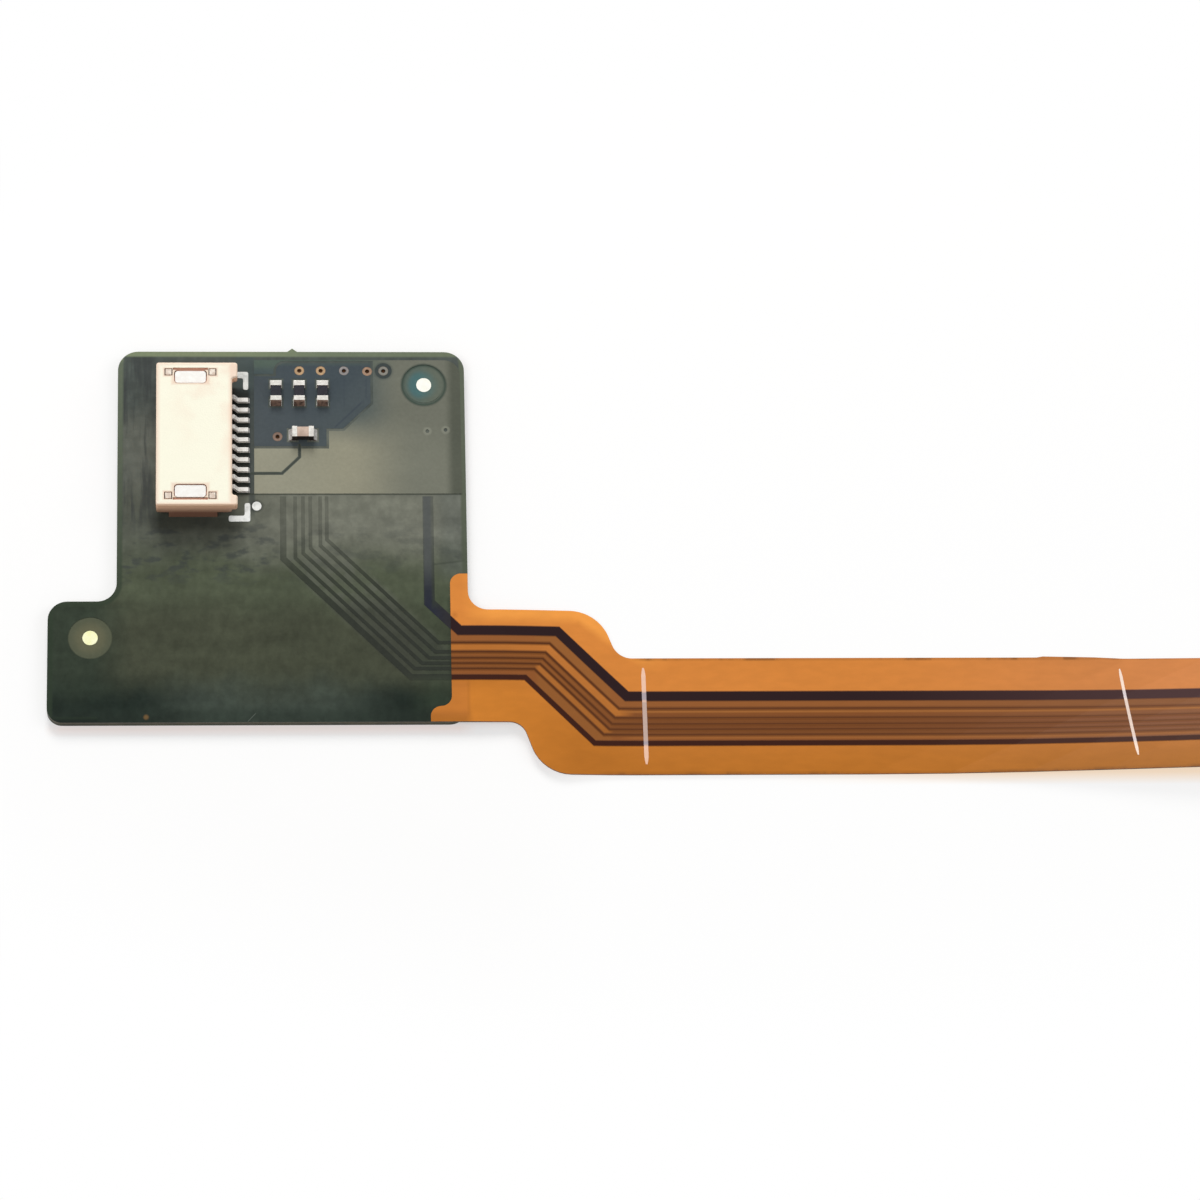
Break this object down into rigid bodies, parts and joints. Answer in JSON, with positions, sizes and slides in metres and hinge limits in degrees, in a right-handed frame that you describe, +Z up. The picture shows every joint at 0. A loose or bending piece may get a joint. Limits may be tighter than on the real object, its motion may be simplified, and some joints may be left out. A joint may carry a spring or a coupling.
{
  "type": "flexible display cable",
  "caption": "Flexible display cable: an amber film tail with a jog and contact fingers, and a green stiffened board end with a surface-mount socket, chips and round pads.",
  "frame": {"origin": "centre of the board end's flat underside, which lies on the table", "axes": "+X along the tail from the board end to the fingers, +Y across the board end towards its edge with the row of vias, +Z up out of the board end's component side"},
  "size_m": [0.0613, 0.0211, 0.002],
  "materials": {
    "stiffener_laminate": "matt glass-epoxy laminate",
    "adhesive": "clear amber bonding film",
    "amber_film": "satin polyimide film",
    "copper": "rolled copper under film",
    "solder_mask": "satin green solder mask",
    "tinned_metal": "tin plate",
    "via_metal": "gold-washed copper",
    "housing_plastic": "moulded liquid-crystal polymer",
    "contact_metal": "tin-plated phosphor bronze",
    "solder": "bright solder",
    "resistor_ceramic": "alumina core with a dark coat",
    "capacitor_ceramic": "fired barium-titanate ceramic"
  },
  "bodies": {
    "root": {"board_stiffener": "stiffener_laminate", "stiffener_adhesive": "adhesive", "bottom_coverlay": "amber_film", "return_plane": "copper", "base_film": "amber_film", "power_conductor": "copper", "ground_conductor": "copper", "power_pour": "copper", "ground_pour": "copper", "capacitor_trace": "copper", "solder_mask": "solder_mask", "tail_coverlay": "amber_film", "end_stiffener": "amber_film", "alignment_pad_east": "tinned_metal", "alignment_pad_west": "tinned_metal", "via_barrels": "via_metal", "chip_lands": "tinned_metal", "contact_lands": "tinned_metal", "fitting_lands": "tinned_metal", "connector_housing": "housing_plastic", "hold_down_north": "tinned_metal", "hold_down_south": "tinned_metal", "contact_solder": "solder", "capacitor_body": "capacitor_ceramic", "capacitor_terminals": "tinned_metal", "chip_solder": "solder", "signal_conductor_1": "copper", "signal_conductor_2": "copper", "signal_conductor_3": "copper", "signal_conductor_4": "copper", "signal_conductor_5": "copper", "contact_01": "contact_metal", "contact_02": "contact_metal", "contact_03": "contact_metal", "contact_04": "contact_metal", "contact_05": "contact_metal", "contact_06": "contact_metal", "contact_07": "contact_metal", "contact_08": "contact_metal", "contact_09": "contact_metal", "contact_10": "contact_metal", "resistor_body_1": "resistor_ceramic", "resistor_terminals_1": "tinned_metal", "resistor_body_2": "resistor_ceramic", "resistor_terminals_2": "tinned_metal", "resistor_body_3": "resistor_ceramic", "resistor_terminals_3": "tinned_metal"}
  },
  "joints": []
}
